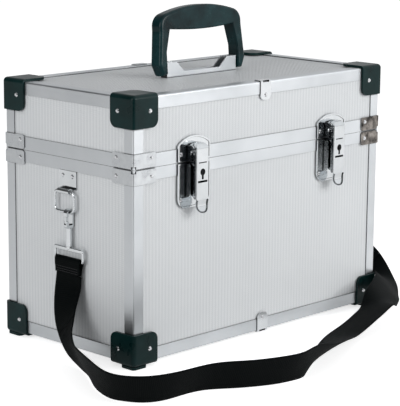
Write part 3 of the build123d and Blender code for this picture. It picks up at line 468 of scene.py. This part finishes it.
def tube(path, radius):
    """A closed round wire along a path of points."""
    bm = bmesh.new()
    rows = []
    for index, middle in enumerate(path):
        ahead = (path[min(index + 1, len(path) - 1)] - path[max(index - 1, 0)]).normalized()
        first = ahead.cross(Vector((0, 1, 0))).normalized()
        rows.append(ring(bm, middle, first, ahead.cross(first), radius, 8))
    skin(bm, rows)
    bmesh.ops.recalc_face_normals(bm, faces=bm.faces)
    return bm


# ---------------------------------------------------------------- latch and eye details
LATCH_X = 0.121
TAB_HALF, TAB_ROUND, TAB_END, TAB_TOP = 0.0085, 0.0074, 0.1650, 0.1790
# Height of the finger tab's bend, middle and end, each with the y of its face there.
TAB_CURL = ((0.1793, -0.1255), (0.1724, -0.1243), (0.1655, -0.1267))
LIP_RADIUS = 0.0008
LIP_STEPS = 8
# The eye's flattened top bar, and the lower bar that the strap goes round.
EYE_X, EYE_Y = 0.220, -0.007
TOP_BAR_Z, TOP_BAR_SIZE, TOP_BAR_ROUND = 0.1177, (0.0034, 0.0480, 0.0046), 0.0009
LOWER_BAR_Z, LOWER_BAR_RADIUS = 0.1046, 0.0016


def tab_face(z):
    """How far forward the hasp's curled finger tab reaches at a height: a parabola through TAB_CURL."""
    (bend, bend_y), (middle, middle_y), (end, end_y) = TAB_CURL
    return (
        bend_y * (z - middle) * (z - end) / ((bend - middle) * (bend - end))
        + middle_y * (z - bend) * (z - end) / ((middle - bend) * (middle - end))
        + end_y * (z - bend) * (z - middle) / ((end - bend) * (end - middle))
    )


def make_tab_lip(side, word):
    """The rolled lip round the end of the hasp's finger tab; though its slot is chrome, it takes the dark
    material as a painted dark reflection and shade along the rim.
    """
    outline = [(TAB_HALF, TAB_TOP), (TAB_HALF, (TAB_TOP + TAB_END + TAB_ROUND) / 2)]
    for step in range(LIP_STEPS + 1):
        a = math.pi / 2 * step / LIP_STEPS
        across = TAB_HALF - TAB_ROUND * (1 - math.cos(a))
        outline.append((across, TAB_END + TAB_ROUND * (1 - math.sin(a))))
    outline += [(-across, z) for across, z in outline[::-1]]
    path = [Vector((side * LATCH_X + across, tab_face(z) - LIP_RADIUS / 2, z)) for across, z in outline]
    new_piece("hasp_tab_lip_" + word, tube(path, LIP_RADIUS), "hasp_" + word, "chrome", "dark_plate")


def make_eye_bar(side, word):
    """The flattened top bar of the strap's swivel eye."""
    bm = bmesh.new()
    bmesh.ops.create_cube(bm, size=1.0)
    bmesh.ops.scale(bm, vec=TOP_BAR_SIZE, verts=bm.verts)
    bmesh.ops.bevel(bm, geom=bm.edges[:], offset=TOP_BAR_ROUND, segments=3, affect="EDGES", profile=0.5)
    bmesh.ops.translate(bm, vec=(side * EYE_X, EYE_Y, TOP_BAR_Z), verts=bm.verts)
    new_piece("swivel_eye_bar_" + word, bm, "eye_" + word, "chrome")


# ---------------------------------------------------------------- shoulder strap
BAND_WIDTH = 0.043
BAND_HALF = 0.0010
# Between its thick selvedges the band is thinner, by this share.
SELVEDGE, THIN_SHARE = 0.004, 0.86
EDGE_ROUND, EDGE_TIP, TIP_SHARE = 0.0009, 0.0002, 0.6
OUTLINE_STEPS = 12
FLOOR_GAP = 0.0006
# A lift off the floor spreads over this many sections on each side.
LIFT_REACH = 4
# The run lies still below the first of these heights.
JOIN_HEIGHT, BEND_TOP = 0.034, 0.084
LOOP_END = 0.0885
BAR_GAP = 0.0003
# How far outside the loop's inner layer its sewn tail lies.
TAIL_STEP = 0.0021
# Height of the stitching rows over the loop's end, and half their width.
STITCH_ROWS, STITCH_ROW_HALF = (0.0078, 0.0048, 0.0022), 0.0185
STITCH_PITCH, STITCH_START, STITCH_STOP = 0.0032, 0.12, 0.88
THREAD_RADIUS = 0.00035
# A stitch's height over the webbing at shares of its length.
STITCH_ARCH = ((0.0, -0.0002), (0.12, 0.0003), (0.5, 0.0005), (0.88, 0.0003), (1.0, -0.0002))
# Middle of the band and the direction across it, from the left eye round to the right one.
STRAP_RUN = (
    ((-0.220, -0.007, 0.0883), (0, 1, 0)),
    ((-0.221, -0.006, 0.0726), (0, 1, 0)),
    ((-0.235, -0.016, 0.0443), (0.12, 0.96, -0.27)),
    ((-0.247, -0.036, 0.0222), (0.29, 0.75, -0.59)),
    ((-0.260, -0.063, 0.0117), (0.5, 0.4, -0.77)),
    ((-0.277, -0.091, 0.0117), (0.55, 0.16, -0.82)),
    ((-0.302, -0.134, 0.0127), (0.43, 0.18, -0.88)),
    ((-0.317, -0.181, 0.0117), (0.45, 0.38, -0.81)),
    ((-0.302, -0.210, 0.0117), (0.28, 0.48, -0.83)),
    ((-0.272, -0.226, 0.0127), (0.1, 0.51, -0.85)),
    ((-0.222, -0.231, 0.0147), (0.05, 0.54, -0.84)),
    ((-0.178, -0.254, 0.0127), (0.07, 0.52, -0.85)),
    ((-0.130, -0.274, 0.0127), (0.08, 0.48, -0.87)),
    ((-0.097, -0.271, 0.0127), (0.25, 0.45, -0.86)),
    ((-0.067, -0.258, 0.0097), (0.13, 0.7, -0.7)),
    ((-0.034, -0.243, 0.0067), (-0.16, 0.81, -0.56)),
    ((-0.003, -0.223, 0.0037), (-0.28, 0.88, -0.38)),
    ((0.046, -0.197, -0.0013), (-0.16, 0.97, -0.17)),
    ((0.080, -0.191, 0.0040), (0.1, 0.99, -0.12)),
    ((0.107, -0.188, 0.0115), (0, 1, -0.15)),
    ((0.136, -0.181, 0.0175), (-0.05, 0.98, -0.1)),
    ((0.163, -0.166, 0.0205), (-0.15, 0.8, 0.42)),
    ((0.194, -0.149, 0.0215), (-0.3, 0.7, 0.6)),
    ((0.221, -0.129, 0.0215), (-0.45, 0.52, 0.7)),
    ((0.244, -0.104, 0.0215), (-0.68, 0.55, 0.42)),
    ((0.251, -0.080, 0.0250), (-0.7, 0.64, -0.25)),
    ((0.257, -0.057, 0.0400), (-0.45, 0.66, -0.58)),
    ((0.246, -0.036, 0.0490), (-0.20, 0.50, -0.84)),
    ((0.231, -0.0175, 0.0605), (-0.05, 0.76, -0.65)),
    ((0.2215, -0.0085, 0.0740), (0, 0.97, -0.23)),
    ((0.220, -0.007, 0.0820), (0, 1, 0)),
    ((0.220, -0.007, 0.0883), (0, 1, 0)),
)


def smooth_run(controls, steps, tightness):
    """Points along the controls: a cubic B-spline at tightness 0, through every control at tightness 1."""
    padded = [controls[0]] * 2 + list(controls) + [controls[-1]] * 2
    points = []
    for first in range(len(padded) - 3):
        a, b, c, d = padded[first : first + 4]
        for step in range(steps):
            t = step / steps
            loose = (
                a * ((1 - t) ** 3 / 6)
                + b * ((3 * t**3 - 6 * t**2 + 4) / 6)
                + c * ((-3 * t**3 + 3 * t**2 + 3 * t + 1) / 6)
                + d * (t**3 / 6)
            )
            tight = (
                b * 2 + (c - a) * t + (a * 2 - b * 5 + c * 4 - d) * t**2 + (b * 3 - a - c * 3 + d) * t**3
            ) / 2
            points.append(loose.lerp(tight, tightness))
    points.append(controls[-1].copy())
    return points


def framed(middles, acrosses):
    """Sections of a band: middle, across, facing and the distance run so far."""
    sections = []
    run = 0.0
    for index, middle in enumerate(middles):
        before = middles[max(index - 1, 0)]
        after = middles[min(index + 1, len(middles) - 1)]
        ahead = (after - before).normalized()
        across = acrosses[index]
        across = (across - ahead * across.dot(ahead)).normalized()
        if index:
            run += (middle - before).length
        sections.append((middle, across, ahead.cross(across), run))
    return sections


def rise(across, facing):
    """How far the band reaches above and below its middle."""
    return abs(across.z) * BAND_WIDTH / 2 + abs(facing.z) * BAND_HALF


def strap_sections():
    """The whole loose run, lifted wherever its lower edge would go into the floor."""
    middles = smooth_run([Vector(middle) for middle, _ in STRAP_RUN], steps=6, tightness=0.4)
    acrosses = smooth_run([Vector(across) for _, across in STRAP_RUN], steps=6, tightness=1.0)
    sections = framed(middles, acrosses)
    lowest = FLOOR + FLOOR_GAP
    lifts = [max(0.0, lowest + rise(across, facing) - middle.z) for middle, across, facing, _ in sections]

    def windows(values):
        return [values[max(i - LIFT_REACH, 0) : i + LIFT_REACH + 1] for i in range(len(values))]

    highest = [max(window) for window in windows(lifts)]
    even = [sum(window) / len(window) for window in windows(highest)]
    middles = [middle + Vector((0, 0, lift)) for (middle, *_), lift in zip(sections, even)]
    return framed(middles, [across for _, across, *_ in sections])


def band_outline():
    """Cross-section of webbing as (across, thickness) pairs: flat faces, thicker selvedges, round edges."""
    half = BAND_WIDTH / 2
    outline = []
    for face in (1, -1):
        for step in range(OUTLINE_STEPS + 1):
            u = face * (half - EDGE_ROUND) * (1 - 2 * step / OUTLINE_STEPS)
            selvedge = max(0.0, abs(u) - (half - SELVEDGE)) / SELVEDGE
            share = THIN_SHARE + (1 - THIN_SHARE) * min(1.0, 2 * selvedge)
            outline.append((u, face * BAND_HALF * share))
        outline.append((-face * (half - EDGE_TIP), face * BAND_HALF * TIP_SHARE))
        outline.append((-face * half, 0.0))
        outline.append((-face * (half - EDGE_TIP), -face * BAND_HALF * TIP_SHARE))
    return outline


def band(sections):
    """A closed strip of webbing through the sections, with its weave distances stored on it."""
    outline = band_outline()
    bm = bmesh.new()
    weave = bm.verts.layers.float_vector.new("weave")
    rows = []
    for middle, across, facing, run in sections:
        row = []
        for u, v in outline:
            vertex = bm.verts.new(middle + across * u + facing * v)
            vertex[weave] = (run, u, v)
            row.append(vertex)
        rows.append(row)
    skin(bm, rows)
    bmesh.ops.recalc_face_normals(bm, faces=bm.faces)
    return bm


def stitch(bm, start, end, facing):
    """One sewn stitch: a short thread that rises out of the webbing and dives back in."""
    along = end - start
    side = facing.cross(along).normalized()
    middles = [start + along * t + facing * lift for t, lift in STITCH_ARCH]
    skin(bm, [ring(bm, middle, side, facing, THREAD_RADIUS, 6) for middle in middles])


def sewn_line(bm, start, end, facing):
    """A row of stitches from start to end."""
    count = max(1, round((end - start).length / STITCH_PITCH))
    step = (end - start) / count
    for index in range(count):
        stitch(bm, start + step * (index + STITCH_START), start + step * (index + STITCH_STOP), facing)


def make_strap():
    """The loose run: a piece that lies still, and two ends that rise to the rings."""
    sections = strap_sections()
    lying = [index for index, (middle, *_) in enumerate(sections) if middle.z < JOIN_HEIGHT]
    low, high = lying[0], lying[-1]
    for name, first, last, body in (
        ("shoulder_strap_left_end", 0, low, "ring_left"),
        ("shoulder_strap_run", low, high, "base"),
        ("shoulder_strap_right_end", high, len(sections) - 1, "ring_right"),
    ):
        part = sections[first : last + 1]
        piece = new_piece(name, band(part), "base" if body == "base" else None, "webbing")
        if body == "base":
            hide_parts("strap_webbing")
        else:
            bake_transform(piece)


def make_loop(side, word):
    """The strap's end, taken round the eye's lower bar and sewn back on itself."""
    bar = Vector((side * EYE_X, EYE_Y, LOWER_BAR_Z))
    out = Vector((side, 0, 0))
    down = Vector((0, 0, -1))
    wrap = LOWER_BAR_RADIUS + BAND_HALF + BAR_GAP
    drop = bar.z - LOOP_END
    # Distances out and down from the bar: up the inner layer, over the bar and down the tail.
    path = [(0, drop), (0, drop - 0.003), (-0.0002, drop - 0.006), (-0.0016, 0.0060), (-wrap, 0.0016)]
    path += [(-wrap * math.cos(a), -wrap * math.sin(a)) for a in (math.pi * k / 8 for k in range(9))]
    path += [(wrap, 0.0016), (0.0029, 0.0060), (0.0022, drop - 0.006)]
    path += [(TAIL_STEP, drop - 0.003), (TAIL_STEP, drop - 0.0005)]
    middles = smooth_run([bar + out * u + down * v for u, v in path], steps=3, tightness=0.5)
    sections = framed(middles, [Vector((0, 1, 0))] * len(middles))
    loop = new_piece("strap_end_loop_" + word, band(sections), "eye_" + word, "webbing")
    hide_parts("strap_loop_" + word)
    bm = bmesh.new()
    face = out * (TAIL_STEP + BAND_HALF * THIN_SHARE)
    reach = Vector((0, STITCH_ROW_HALF, 0))
    for row in STITCH_ROWS:
        middle = bar + face + down * (drop - row)
        sewn_line(bm, middle - reach, middle + reach, out)
    stitches = new_piece("strap_stitching_" + word, bm, "eye_" + word, "webbing", "thread")


make_camera()
make_world()
make_floor()
make_lamp("key", spot=(0.9, -2.6, 1.1), size=(1.8, 1.4), energy=42)
make_lamp("left_fill", spot=(-2.6, -0.2, 1.0), size=(1.2, 1.2), energy=21)
make_flag("camera_side_flag", spot=(-0.75, -0.72, 0.30), facing=(0.717, 0.698, 0), size=(0.8, 0.62))
dress_nodes()
make_strap()
make_loop(-1, "left")
make_loop(1, "right")
for side, word in ((-1, "left"), (1, "right")):
    make_tab_lip(side, word)
    make_eye_bar(side, word)

bpy.context.scene.view_settings.view_transform = "Standard"
